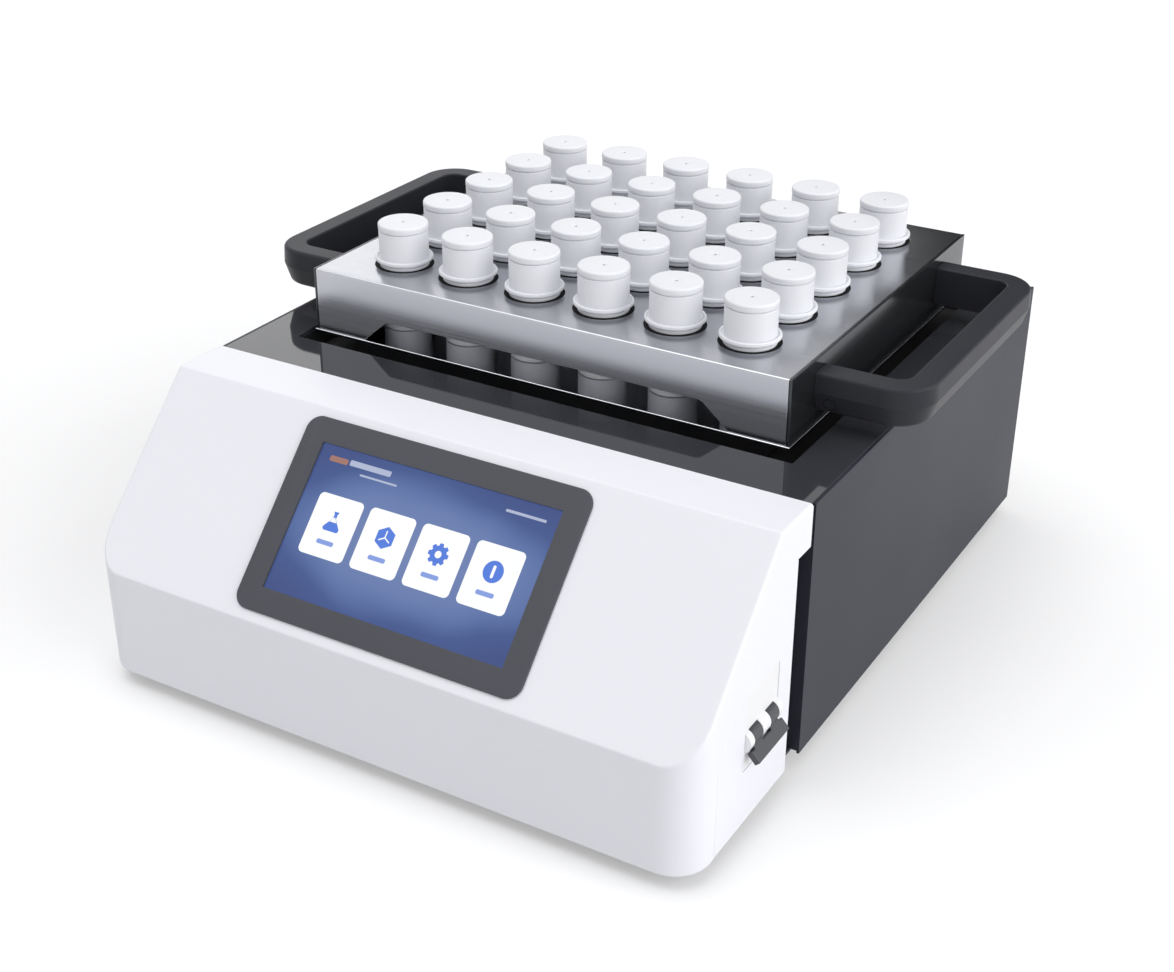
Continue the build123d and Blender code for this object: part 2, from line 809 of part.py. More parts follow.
def rack_top():
    """Folded stainless channel: the holed top, and a front and a rear apron with a window."""
    half_x = rack_half_x - rack_sheet - rack_seam
    y_front = rack_centre_y - rack_half_y
    y_rear = rack_centre_y + rack_half_y
    apron_bottom = rack_bottom_z + lower_plate_sheet
    channel = span_box((-half_x, y_front, apron_bottom), (half_x, y_rear, rack_top_z))
    folds = channel.faces().sort_by(Axis.Z)[-1].edges().filter_by(Axis.X)
    channel = fillet(folds, rack_fold_radius)
    channel -= span_box(
        (-half_x - 1, y_front + rack_sheet, apron_bottom - 1),
        (half_x + 1, y_rear - rack_sheet, rack_top_z - rack_sheet),
    )
    window = make_face(
        Polyline(
            (-window_width_bottom / 2, -1),
            (-window_width_bottom / 2, 0),
            (-window_width_top / 2, window_height),
            (window_width_top / 2, window_height),
            (window_width_bottom / 2, 0),
            (window_width_bottom / 2, -1),
            close=True,
        )
    )
    upper = window.vertices().sort_by(Axis.Y)[-2:]
    window = fillet(upper, window_corner_radius)
    place = Plane(origin=(0, y_rear + 1, apron_bottom), x_dir=(-1, 0, 0), z_dir=(0, 1, 0))
    channel -= extrude(place * window, amount=-rack_depth - 2)
    holes = [
        upright(rack_hole_diameter / 2, rack_top_z - 2 * rack_sheet, rack_top_z + 1, x, y)
        for _, _, x, y in grid_points()
    ]
    return channel - holes


def rack_end_plates():
    """The two end sheets, one past each end of the channel, which carry the handles."""
    inner_x = rack_half_x - rack_sheet
    plate = span_box(
        (inner_x, rack_centre_y - rack_half_y, rack_bottom_z + lower_plate_sheet),
        (rack_half_x, rack_centre_y + rack_half_y, rack_top_z),
    )
    plate = fillet(plate.faces().sort_by(Axis.X)[-1].edges(), rack_edge_radius)
    for y, z in handle_screw_places():
        radius = handle_screw_diameter / 2 + screw_hole_gap
        plate -= along_x(radius, inner_x - 1, rack_half_x + 1, y, z)
    return [mirror(plate, about=Plane.YZ), plate]


def rack_lower_plate():
    """Polished lower plate whose smaller holes carry the vessels by their shoulders."""
    half_x = rack_half_x + lower_plate_outset
    half_y = rack_half_y + lower_plate_outset
    plate = span_box(
        (-half_x, rack_centre_y - half_y, rack_bottom_z),
        (half_x, rack_centre_y + half_y, rack_bottom_z + lower_plate_sheet),
    )
    radius = foot_diameter / 2 + vessel_clearance
    holes = [
        upright(radius, rack_bottom_z - 1, rack_bottom_z + lower_plate_sheet + 1, x, y)
        for _, _, x, y in grid_points()
    ]
    return plate - holes


def handle_screw_places():
    """The middle of each arm where its screw enters, as (y, z)."""
    arm_y = handle_length / 2 - handle_width / 2
    return [(rack_centre_y + sign * arm_y, handle_crease_z) for sign in (-1, 1)]


def handle_outline(reach, length, radius):
    """Plan of the handle or of its opening: a rectangle that runs into the rack's end."""
    outline = Rectangle(reach + handle_overlap, length, align=(Align.MIN, Align.CENTER))
    outline = Pos(-handle_overlap, 0) * outline
    return fillet(outline.vertices().sort_by(Axis.X)[-2:], radius)


def rack_handle(side):
    """Dark D handle: a bar beside the rack on two arms, with a parting line round it."""
    outline = handle_outline(handle_reach, handle_length, handle_outer_radius)
    upper_height = handle_height - handle_lower_height
    upper = extrude(outline, amount=upper_height, taper=handle_upper_taper)
    upper = fillet(upper.faces().sort_by(Axis.Z)[-1].edges(), handle_top_radius)
    lower = extrude(outline, amount=handle_lower_height, taper=handle_lower_taper)
    lower = fillet(lower.faces().sort_by(Axis.Z)[-1].edges(), handle_bottom_radius)
    handle = upper + mirror(lower, about=Plane.XY)
    gap_reach = handle_reach - handle_width
    gap_length = handle_length - 2 * handle_width
    gap = handle_outline(gap_reach, gap_length, handle_outer_radius - handle_width)
    handle -= extrude(Pos(0, 0, -handle_lower_height - 1) * gap, amount=handle_height + 2)
    handle -= span_box(
        (-handle_overlap - 1, -handle_length, -handle_height), (0, handle_length, handle_height)
    )
    rim = [
        edge
        for edge in handle.edges()
        if abs(edge.center().Z - upper_height) < 0.01
        and 0.01 < edge.center().X < gap_reach + 0.01
        and abs(edge.center().Y) < gap_length / 2 + 0.01
    ]
    handle = Pos(rack_half_x, rack_centre_y, handle_crease_z) * fillet(rim, handle_gap_radius)
    for y, z in handle_screw_places():
        radius = handle_screw_diameter / 2 + screw_hole_gap
        handle -= along_x(radius, rack_half_x - 1, rack_half_x + handle_screw_hole_depth, y, z)
    handle -= handle_plug_ring()
    return handle if side > 0 else mirror(handle, about=Plane.YZ)


def handle_plug_ring():
    """The round groove of the plug in the front arm's lower face."""
    taper = math.radians(handle_lower_taper)
    face_y = rack_centre_y - handle_length / 2 + handle_plug_drop * math.tan(taper)
    place = Plane(
        origin=(rack_half_x + handle_plug_inset, face_y, handle_crease_z - handle_plug_drop),
        x_dir=(1, 0, 0),
        z_dir=(0, -math.cos(taper), -math.sin(taper)),
    )
    outer_radius = handle_plug_diameter / 2
    ring = Circle(outer_radius) - Circle(outer_radius - handle_plug_groove)
    return extrude(place * ring, amount=handle_plug_groove, both=True)


def handle_screws():
    """Screws from inside the rack into the handles' arms."""
    screws = []
    inner_x = rack_half_x - rack_sheet
    for y, z in handle_screw_places():
        screw = along_x(handle_screw_diameter / 2, inner_x, inner_x + handle_screw_length, y, z)
        head_radius = handle_screw_head_diameter / 2
        screw += along_x(head_radius, inner_x - handle_screw_head_height, inner_x, y, z)
        screws += [screw, mirror(screw, about=Plane.YZ)]
    return screws


def vessel_tube(x, y):
    """White tube: foot in the well, shoulder on the lower plate, flange and neck."""
    bottom = block_top_z - vessel_depth_in_block
    flange_z = rack_top_z + flange_under_height
    outline = Polyline(
        (0, bottom),
        (foot_diameter / 2 - vessel_foot_radius, bottom),
        (foot_diameter / 2, bottom + vessel_foot_radius),
        (foot_diameter / 2, shoulder_z),
        (body_diameter / 2, shoulder_z),
        (body_diameter / 2, flange_z),
        (flange_diameter / 2, flange_z),
        (flange_diameter / 2, flange_z + flange_rim),
        (neck_diameter / 2, flange_z + flange_rim + flange_slope),
        (neck_diameter / 2, rack_top_z + neck_top_height),
        (vessel_bore / 2, rack_top_z + neck_top_height),
        (vessel_bore / 2, bottom + vessel_floor),
        (0, bottom + vessel_floor),
        close=True,
    )
    tube = revolve(Plane.XZ * make_face(outline), Axis.Z)
    return Pos(x, y, 0) * tube


def vessel_lid(x, y):
    """Round cap with a plug in the bore and a fine vent in a shallow dish."""
    seat_z = rack_top_z + neck_top_height + vessel_clearance
    lid = upright(lid_diameter / 2, seat_z, seat_z + lid_thickness, 0, 0)
    lid = fillet(lid.faces().sort_by(Axis.Z)[-1].edges(), lid_edge_radius)
    plug_radius = vessel_bore / 2 - vessel_clearance
    lid += upright(plug_radius, seat_z - lid_plug_length, seat_z, 0, 0)
    top_z = seat_z + lid_thickness
    lid -= upright(vent_dish_diameter / 2, top_z - vent_dish_depth, top_z + 1, 0, 0)
    lid -= upright(vent_diameter / 2, seat_z - lid_plug_length - 1, top_z + 1, 0, 0)
    return Pos(x, y, 0) * lid


def feet():
    """Four rubber feet with their fixing screws moulded in."""
    pads = []
    for x, y in foot_places():
        pad = Cone(foot_bottom_diameter / 2, foot_top_diameter / 2, foot_height, align=on_floor)
        stud = upright(screw_radius, base_z - 1, base_z - 1 + foot_screw_length, 0, 0)
        pads.append(Pos(x, y, 0) * (pad + stud))
    return pads


def fan_frame():
    """Square fan frame with a round duct and a hub on four struts."""
    front_y = rear_panel_y - fan_depth
    frame = span_box(
        (fan_x - fan_size / 2, front_y, fan_z - fan_size / 2),
        (fan_x + fan_size / 2, rear_panel_y, fan_z + fan_size / 2),
    )
    frame -= along_y(fan_duct_diameter / 2, front_y - 1, rear_panel_y + 1, fan_x, fan_z)
    hub_end = front_y + fan_strut_sheet
    frame += along_y(fan_hub_diameter / 2, front_y, hub_end, fan_x, fan_z)
    reach = fan_duct_diameter / 2 + 1
    half = fan_strut_width / 2
    frame += span_box((fan_x - reach, front_y, fan_z - half), (fan_x + reach, hub_end, fan_z + half))
    frame += span_box((fan_x - half, front_y, fan_z - reach), (fan_x + half, hub_end, fan_z + reach))
    bore = fan_axle_radius + fan_axle_clearance
    return frame - along_y(bore, front_y - 1, hub_end + 1, fan_x, fan_z)


def fan_rotor():
    """Hub, axle and seven pitched blades."""
    hub_front = rear_panel_y - fan_depth + fan_strut_sheet + fan_wall_gap
    hub_rear = hub_front + fan_hub_length
    rotor = along_y(fan_hub_diameter / 2, hub_front, hub_rear, 0, 0)
    rotor += along_y(fan_axle_radius, hub_front - fan_wall_gap - fan_strut_sheet, hub_front, 0, 0)
    blade_reach = fan_duct_diameter / 2 - fan_wall_gap
    blade_width = (fan_hub_length - 2 * fan_wall_gap) / math.cos(math.radians(fan_blade_pitch))
    blade = Box(fan_blade_sheet, blade_width, blade_reach - 1, align=on_floor)
    limit = along_y(blade_reach, hub_front, hub_rear, 0, 0)
    for index in range(fan_blade_count):
        turn = Rot(0, index * 360 / fan_blade_count, 0)
        middle = Pos(0, (hub_front + hub_rear) / 2, 1)
        rotor += (turn * middle * Rot(0, 0, fan_blade_pitch) * blade) & limit
    return Pos(fan_x, 0, fan_z) * rotor


def mains_inlet():
    """Three-pin mains socket in the rear panel, screwed on by its flange."""
    outer_y = rear_panel_y + panel_sheet
    half_w = inlet_width / 2
    half_h = inlet_height / 2
    face_y = outer_y + inlet_flange_sheet
    flange = RectangleRounded(inlet_flange_width, inlet_flange_height, inlet_flange_radius)
    place = Plane(origin=(inlet_x, face_y, inlet_z), x_dir=(-1, 0, 0), z_dir=(0, 1, 0))
    inlet = extrude(place * flange, amount=-inlet_flange_sheet)
    inlet += span_box(
        (inlet_x - half_w, face_y - inlet_depth, inlet_z - half_h),
        (inlet_x + half_w, face_y, inlet_z + half_h),
    )
    cavity_floor = face_y - inlet_cavity_depth
    cavity = Rectangle(inlet_width - 2 * inlet_wall, inlet_height - 2 * inlet_wall)
    lower_corners = cavity.vertices().sort_by(Axis.Y)[:2]
    cavity = chamfer(lower_corners, inlet_chamfer)
    inlet -= extrude(place * cavity, amount=-inlet_cavity_depth)
    for column, row in ((-1, -1), (0, 1), (1, -1)):
        x = inlet_x + column * inlet_pin_spacing
        z = inlet_z + row * inlet_pin_stagger
        inlet += span_box(
            (x - inlet_pin_size[0] / 2, cavity_floor - 1, z - inlet_pin_size[1] / 2),
            (x + inlet_pin_size[0] / 2, cavity_floor + inlet_pin_length, z + inlet_pin_size[1] / 2),
        )
    for x, z in inlet_screw_places():
        inlet -= along_y(screw_radius + screw_hole_gap, outer_y - 1, face_y + 1, x, z)
    return inlet


def vessel_nodes():
    """Each vessel with its lid; the front right one has its lid as a node of its own."""
    nodes = {}
    for row, column, x, y in grid_points():
        name = f"vessel_r{row + 1}_c{column + 1}"
        if row == 0 and column == columns - 1:
            nodes[name] = vessel_tube(x, y)
            nodes["vessel_lid_front_right"] = vessel_lid(x, y)
        else:
            nodes[name] = [vessel_tube(x, y), vessel_lid(x, y)]
    return nodes


def all_nodes():
    """Every node's solids by name."""
    nodes = {
        "base_pan": base_pan(),
        "console_shell": console_shell(),
        "console_cheek_left": console_cheek(-1),
        "console_cheek_right": console_cheek(1),
        "display_bezel": display_bezel(),
        "display_panel": display_panel(),
        "control_board": control_board(),
        "top_deck": top_deck(),
        "side_panel_left": side_panel(-1),
        "side_panel_right": side_panel(1),
        "rear_panel": rear_panel(),
        "well_tub": well_tub(),
        "graphite_block": graphite_block(),
        "heater_plate": heater_plate(),
        "insulation": insulation(),
        "temperature_probe": temperature_probe(),
        "fan_frame": fan_frame(),
        "fan_rotor": fan_rotor(),
        "breaker_case": breaker_case(),
        "breaker_toggle": breaker_toggle(),
        "mains_inlet": mains_inlet(),
        "feet": feet(),
        "housing_screws": housing_screws(),
        "rack_top": rack_top(),
        "rack_end_plates": rack_end_plates(),
        "rack_lower_plate": rack_lower_plate(),
        "rack_handle_left": rack_handle(-1),
        "rack_handle_right": rack_handle(1),
        "handle_screws": handle_screws(),
    }
    nodes.update(vessel_nodes())
    return nodes


os.makedirs("parts", exist_ok=True)
for node_name, shape in all_nodes().items():
    if isinstance(shape, list):
        shape = Compound(children=shape)
    export_step(shape, f"parts/{node_name}.step")
    print(node_name, "written")
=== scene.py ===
import json
import math

import bmesh
import bpy
from mathutils import Matrix, Vector

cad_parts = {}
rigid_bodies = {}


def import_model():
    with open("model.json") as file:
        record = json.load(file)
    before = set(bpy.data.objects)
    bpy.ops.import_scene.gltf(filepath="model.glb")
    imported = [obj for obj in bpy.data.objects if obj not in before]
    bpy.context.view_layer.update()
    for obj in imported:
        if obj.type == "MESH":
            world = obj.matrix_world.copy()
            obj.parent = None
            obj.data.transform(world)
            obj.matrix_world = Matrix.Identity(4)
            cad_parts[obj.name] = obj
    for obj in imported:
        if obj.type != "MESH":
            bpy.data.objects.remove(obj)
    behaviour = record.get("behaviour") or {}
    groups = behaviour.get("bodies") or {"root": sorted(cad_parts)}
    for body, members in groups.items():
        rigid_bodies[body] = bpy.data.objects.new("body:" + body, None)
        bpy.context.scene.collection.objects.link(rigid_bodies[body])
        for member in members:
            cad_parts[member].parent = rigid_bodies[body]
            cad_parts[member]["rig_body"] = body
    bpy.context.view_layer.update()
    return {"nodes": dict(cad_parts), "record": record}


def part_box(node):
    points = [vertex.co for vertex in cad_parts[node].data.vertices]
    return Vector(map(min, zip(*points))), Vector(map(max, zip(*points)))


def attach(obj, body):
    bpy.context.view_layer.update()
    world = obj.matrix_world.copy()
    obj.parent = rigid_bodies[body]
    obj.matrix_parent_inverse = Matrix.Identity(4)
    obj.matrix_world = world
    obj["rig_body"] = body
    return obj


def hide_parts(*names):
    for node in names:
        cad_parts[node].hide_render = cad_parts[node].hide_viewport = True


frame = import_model()
print("frame loaded:", len(frame["nodes"]), "nodes")

mm = 0.001
scene = bpy.context.scene
scene.view_settings.view_transform = "Standard"


# camera: fitted to the lid vents and the long straight edges
cameraFit = {
    "eye": (0.4907, -0.8397, 0.5889),
    "azimuth": 30.51,
    "elevation": 27.994,
    "roll": 0.175,
    "lens": 54.54,
    "sensor": 36.0,
}


def addCamera():
    azimuth, elevation, roll = (math.radians(cameraFit[key]) for key in ("azimuth", "elevation", "roll"))
    back = Vector((
        math.sin(azimuth) * math.cos(elevation),
        -math.cos(azimuth) * math.cos(elevation),
        math.sin(elevation),
    ))
    right = Vector((math.cos(azimuth), math.sin(azimuth), 0))
    up = back.cross(right)
    turnedRight = right * math.cos(roll) + up * math.sin(roll)
    turnedUp = up * math.cos(roll) - right * math.sin(roll)
    data = bpy.data.cameras.new("camera")
    data.lens = cameraFit["lens"]
    data.sensor_width = cameraFit["sensor"]
    data.sensor_fit = "HORIZONTAL"
    data.dof.use_dof = False
    camera = bpy.data.objects.new("camera", data)
    rotation = Matrix((turnedRight, turnedUp, back)).transposed().to_4x4()
    camera.matrix_world = Matrix.Translation(cameraFit["eye"]) @ rotation
    scene.collection.objects.link(camera)
    scene.camera = camera


addCamera()
print("camera set")


# small helpers for shader trees
def newMaterial(name):
    material = bpy.data.materials.new(name)
    material.use_nodes = True
    tree = material.node_tree
    tree.nodes.clear()
    output = tree.nodes.new("ShaderNodeOutputMaterial")
    shader = tree.nodes.new("ShaderNodeBsdfPrincipled")
    tree.links.new(shader.outputs["BSDF"], output.inputs["Surface"])
    return material, tree, shader


def addNode(tree, kind, **settings):
    node = tree.nodes.new(kind)
    for key, value in settings.items():
        setattr(node, key, value)
    return node


def addGroup(tree, group):
    node = tree.nodes.new("ShaderNodeGroup")
    node.node_tree = group
    place = tree.nodes.new("ShaderNodeTexCoord")
    tree.links.new(place.outputs["Object"], node.inputs["Place"])
    return node


def newGroup(name, inputs, outputs):
    group = bpy.data.node_groups.new(name, "ShaderNodeTree")
    group.interface.new_socket("Place", in_out="INPUT", socket_type="NodeSocketVector")
    for label, kind, value in inputs:
        socket = group.interface.new_socket(label, in_out="INPUT", socket_type=kind)
        socket.default_value = value
    for label, kind in outputs:
        group.interface.new_socket(label, in_out="OUTPUT", socket_type=kind)
    return group, group.nodes.new("NodeGroupInput"), group.nodes.new("NodeGroupOutput")


def makeTintGroup():
    # two close tones in slow clouds, and a height for orange peel or moulded grain
    group, given, result = newGroup(
        "tintAndGrain",
        [
            ("Tone A", "NodeSocketColor", (0.5, 0.5, 0.5, 1)),
            ("Tone B", "NodeSocketColor", (0.6, 0.6, 0.6, 1)),
            ("Cloud Scale", "NodeSocketFloat", 9.0),
            ("Grain Scale", "NodeSocketFloat", 900.0),
            ("Rough Low", "NodeSocketFloat", 0.4),
            ("Rough High", "NodeSocketFloat", 0.5),
        ],
        [("Color", "NodeSocketColor"), ("Roughness", "NodeSocketFloat"), ("Height", "NodeSocketFloat")],
    )
    cloud = addNode(group, "ShaderNodeTexNoise")
    cloud.inputs["Detail"].default_value = 3.0
    grain = addNode(group, "ShaderNodeTexNoise")
    grain.inputs["Detail"].default_value = 4.0
    mix = addNode(group, "ShaderNodeMix", data_type="RGBA")
    rough = addNode(group, "ShaderNodeMapRange")
    rough.inputs["From Min"].default_value = 0.3
    rough.inputs["From Max"].default_value = 0.7
    link = group.links.new
    link(given.outputs["Place"], cloud.inputs["Vector"])
    link(given.outputs["Place"], grain.inputs["Vector"])
    link(given.outputs["Cloud Scale"], cloud.inputs["Scale"])
    link(given.outputs["Grain Scale"], grain.inputs["Scale"])
    link(cloud.outputs["Fac"], mix.inputs["Factor"])
    link(given.outputs["Tone A"], mix.inputs["A"])
    link(given.outputs["Tone B"], mix.inputs["B"])
    link(cloud.outputs["Fac"], rough.inputs["Value"])
    link(given.outputs["Rough Low"], rough.inputs["To Min"])
    link(given.outputs["Rough High"], rough.inputs["To Max"])
    link(mix.outputs["Result"], result.inputs["Color"])
    link(rough.outputs["Result"], result.inputs["Roughness"])
    link(grain.outputs["Fac"], result.inputs["Height"])
    return group


def makeBrushGroup():
    # long fine streaks: the place is stretched, so the noise runs along one direction
    group, given, result = newGroup(
        "brushedStreaks",
        [
            ("Stretch", "NodeSocketVector", (6.0, 900.0, 900.0)),
            ("Tone A", "NodeSocketColor", (0.5, 0.5, 0.5, 1)),
            ("Tone B", "NodeSocketColor", (0.6, 0.6, 0.6, 1)),
            ("Rough Low", "NodeSocketFloat", 0.25),
            ("Rough High", "NodeSocketFloat", 0.35),
        ],
        [("Color", "NodeSocketColor"), ("Roughness", "NodeSocketFloat"), ("Height", "NodeSocketFloat")],
    )
    stretch = addNode(group, "ShaderNodeVectorMath", operation="MULTIPLY")
    streak = addNode(group, "ShaderNodeTexNoise")
    streak.inputs["Scale"].default_value = 1.0
    streak.inputs["Detail"].default_value = 5.0
    streak.inputs["Roughness"].default_value = 0.65
    mix = addNode(group, "ShaderNodeMix", data_type="RGBA")
    rough = addNode(group, "ShaderNodeMapRange")
    rough.inputs["From Min"].default_value = 0.3
    rough.inputs["From Max"].default_value = 0.7
    link = group.links.new
    link(given.outputs["Place"], stretch.inputs[0])
    link(given.outputs["Stretch"], stretch.inputs[1])
    link(stretch.outputs["Vector"], streak.inputs["Vector"])
    link(streak.outputs["Fac"], mix.inputs["Factor"])
    link(given.outputs["Tone A"], mix.inputs["A"])
    link(given.outputs["Tone B"], mix.inputs["B"])
    link(streak.outputs["Fac"], rough.inputs["Value"])
    link(given.outputs["Rough Low"], rough.inputs["To Min"])
    link(given.outputs["Rough High"], rough.inputs["To Max"])
    link(mix.outputs["Result"], result.inputs["Color"])
    link(rough.outputs["Result"], result.inputs["Roughness"])
    link(streak.outputs["Fac"], result.inputs["Height"])
    return group


tintGroup = makeTintGroup()
brushGroup = makeBrushGroup()


bumpDepth = {"tinted": 0.0002, "brushed": 0.00005}


def joinGroup(tree, shader, group, bump, distance):
    link = tree.links.new
    link(group.outputs["Color"], shader.inputs["Base Color"])
    link(group.outputs["Roughness"], shader.inputs["Roughness"])
    node = addNode(tree, "ShaderNodeBump")
    node.inputs["Strength"].default_value = bump
    node.inputs["Distance"].default_value = distance
    link(group.outputs["Height"], node.inputs["Height"])
    link(node.outputs["Normal"], shader.inputs["Normal"])


def tinted(name, toneA, toneB, roughness, cloud, grain, bump, sockets=None):
    material, tree, shader = newMaterial(name)
    group = addGroup(tree, tintGroup)
    group.inputs["Tone A"].default_value = (*toneA, 1)
    group.inputs["Tone B"].default_value = (*toneB, 1)
    group.inputs["Cloud Scale"].default_value = cloud
    group.inputs["Grain Scale"].default_value = grain
    group.inputs["Rough Low"].default_value = roughness[0]
    group.inputs["Rough High"].default_value = roughness[1]
    joinGroup(tree, shader, group, bump, bumpDepth["tinted"])
    for key, value in (sockets or {}).items():
        shader.inputs[key].default_value = value
    return material


def brushed(name, toneA, toneB, roughness, stretch, bump, anisotropy, metallic=1.0, turn=0.25):
    material, tree, shader = newMaterial(name)
    group = addGroup(tree, brushGroup)
    group.inputs["Stretch"].default_value = stretch
    group.inputs["Tone A"].default_value = (*toneA, 1)
    group.inputs["Tone B"].default_value = (*toneB, 1)
    group.inputs["Rough Low"].default_value = roughness[0]
    group.inputs["Rough High"].default_value = roughness[1]
    joinGroup(tree, shader, group, bump, bumpDepth["brushed"])
    shader.inputs["Metallic"].default_value = metallic
    shader.inputs["Anisotropic"].default_value = anisotropy
    shader.inputs["Anisotropic Rotation"].default_value = turn
    tangent = addNode(tree, "ShaderNodeTangent", direction_type="RADIAL", axis="X")
    tree.links.new(tangent.outputs["Tangent"], shader.inputs["Tangent"])
    return material


# two tones, low and high roughness, cloud and grain scale, bump, and sockets that are set by themselves
tintedPaints = {
    "whiteEnamel": ((0.848, 0.856, 0.906), (0.862, 0.870, 0.917), (0.34, 0.42), 4, 1100, 0.03),
    "darkSheet": (
        (0.024, 0.026, 0.037), (0.029, 0.031, 0.042), (0.42, 0.50), 5, 1500, 0.08,
        {"Specular IOR Level": 0.22},
    ),
    "deckGloss": ((0.036, 0.037, 0.044), (0.044, 0.045, 0.052), (0.03, 0.07), 6, 700, 0.004),
    "bezelGrey": (
        (0.065, 0.067, 0.080), (0.073, 0.075, 0.089), (0.44, 0.52), 12, 1600, 0.06,
        {"Specular IOR Level": 0.3},
    ),
    "blackLiner": ((0.006, 0.006, 0.007), (0.010, 0.010, 0.011), (0.6, 0.75), 20, 800, 0.1),
    # painted shade: near-black rings that fill the gaps round the vessels in the rack's holes
    "shadeRingBlack": (
        (0.003, 0.003, 0.004), (0.005, 0.005, 0.006), (0.7, 0.8), 20, 800, 0.1,
        {"Specular IOR Level": 0.2},
    ),
    "graphite": ((0.020, 0.021, 0.024), (0.034, 0.035, 0.039), (0.38, 0.52), 30, 1200, 0.12),
    "felt": ((0.008, 0.008, 0.008), (0.020, 0.020, 0.021), (0.85, 0.95), 60, 1400, 0.5),
    "castAluminium": ((0.55, 0.55, 0.56), (0.63, 0.63, 0.64), (0.4, 0.5), 30, 900, 0.1, {"Metallic": 1.0}),
    "plainSteel": ((0.50, 0.50, 0.52), (0.58, 0.58, 0.60), (0.25, 0.35), 60, 900, 0.03, {"Metallic": 1.0}),
    "blackPlastic": ((0.014, 0.014, 0.016), (0.020, 0.020, 0.022), (0.42, 0.52), 20, 1400, 0.1),
    "breakerWhite": ((0.84, 0.84, 0.85), (0.87, 0.87, 0.88), (0.38, 0.46), 20, 1400, 0.05),
    "togglePlastic": ((0.049, 0.050, 0.057), (0.058, 0.059, 0.067), (0.34, 0.42), 20, 1400, 0.06),
    "handlePlastic": (
        (0.032, 0.033, 0.039), (0.037, 0.038, 0.045), (0.34, 0.42), 14, 1600, 0.04,
        {"Specular IOR Level": 0.12},
    ),
    "footRubber": ((0.016, 0.016, 0.016), (0.024, 0.024, 0.024), (0.7, 0.8), 30, 900, 0.3),
    "vesselWhite": ((0.812, 0.820, 0.856), (0.836, 0.843, 0.877), (0.38, 0.46), 22, 1500, 0.03),
    "circuitGreen": ((0.010, 0.085, 0.030), (0.014, 0.110, 0.040), (0.35, 0.45), 40, 900, 0.05),
}

# two tones, low and high roughness, stretch of the streaks, bump, anisotropy and, where it isn't 1, metallic
brushedPaints = {
    "brushedSteel": ((0.44, 0.45, 0.48), (0.55, 0.56, 0.59), (0.20, 0.28), (5, 1100, 1100), 0.1, 0.7),
    # painted shade: the end plates' steel is toned near black, standing in for the shade on the rack's sides
    "shadedEndSteel": ((0.060, 0.063, 0.070), (0.080, 0.083, 0.092), (0.14, 0.20), (500, 9, 500), 0.02, 0.3, 0.8),
    "polishedSteel": ((0.66, 0.67, 0.70), (0.72, 0.73, 0.76), (0.06, 0.10), (9, 500, 500), 0.02, 0.4),
}

paints = {name: tinted(name, *values) for name, values in tintedPaints.items()}
paints.update({name: brushed(name, *values) for name, values in brushedPaints.items()})


# the screen lies in the console's slope: u runs to the right, v up the slope, both from its middle
screen = {
    "centre": (0.0, -0.1901, 0.12025),
    "tilt": 46.03,
    "glowSize": (0.120, 0.052),
    "cardSize": (29.6, 35.0), "cardRadius": 3.0, "cardPlaces": (-51.4, -17.1, 17.1, 51.4), "cardV": -0.85,
    "iconV": 2.4, "labelV": -9.8, "labelSize": (11.0, 2.6), "labelRadius": 1.0,
    "heading": ((-63.4, 35.7), (12.2, 3.2), 0.8),
    "bars": (
        ((-42.4, 36.1), (27.2, 3.2), 0.8),
        ((-35.0, 31.0), (24.5, 1.1), 0.5),
        ((57.3, 35.3), (24.6, 1.5), 0.6),
    ),
    "cardLift": 0.12, "iconLift": 0.20, "markLift": 0.28, "sheet": 0.06,
}


def makeScreenPaint():
    # lit backdrop: lightest in the middle, deeper towards the rim
    material, tree, shader = newMaterial("screenBlue")
    place = addNode(tree, "ShaderNodeTexCoord")
    offset = addNode(tree, "ShaderNodeVectorMath", operation="SUBTRACT")
    offset.inputs[1].default_value = screen["centre"]
    scaled = addNode(tree, "ShaderNodeVectorMath", operation="DIVIDE")
    width, height = screen["glowSize"]
    scaled.inputs[1].default_value = (width, 1000.0, height * math.sin(math.radians(screen["tilt"])))
    reach = addNode(tree, "ShaderNodeVectorMath", operation="LENGTH")
    cloud = addNode(tree, "ShaderNodeTexNoise")
    cloud.inputs["Scale"].default_value = 22.0
    cloud.inputs["Detail"].default_value = 1.0
    soften = addNode(tree, "ShaderNodeMath", operation="MULTIPLY_ADD")
    soften.inputs[1].default_value = 0.30
    soften.inputs[2].default_value = -0.15
    join = addNode(tree, "ShaderNodeMath", operation="ADD")
    ramp = addNode(tree, "ShaderNodeValToRGB")
    tones = [(0.0, (0.168, 0.230, 0.440)), (0.48, (0.134, 0.198, 0.415)), (0.62, (0.102, 0.160, 0.370)),
             (0.80, (0.056, 0.094, 0.262)), (1.0, (0.050, 0.080, 0.232))]
    while len(ramp.color_ramp.elements) < len(tones):
        ramp.color_ramp.elements.new(0.5)
    for element, (position, tone) in zip(ramp.color_ramp.elements, tones):
        element.position = position
        element.color = (*tone, 1)
    link = tree.links.new
    link(place.outputs["Object"], offset.inputs[0])
    link(offset.outputs["Vector"], scaled.inputs[0])
    link(scaled.outputs["Vector"], reach.inputs[0])
    link(place.outputs["Object"], cloud.inputs["Vector"])
    link(cloud.outputs["Fac"], soften.inputs[0])
    link(reach.outputs["Value"], join.inputs[0])
    link(soften.outputs["Value"], join.inputs[1])
    link(join.outputs["Value"], ramp.inputs["Fac"])
    link(ramp.outputs["Color"], shader.inputs["Emission Color"])
    shader.inputs["Emission Strength"].default_value = 1.0
    shader.inputs["Base Color"].default_value = (0.005, 0.006, 0.010, 1)
    shader.inputs["Roughness"].default_value = 0.16
    shader.inputs["Specular IOR Level"].default_value = 0.2
    return material


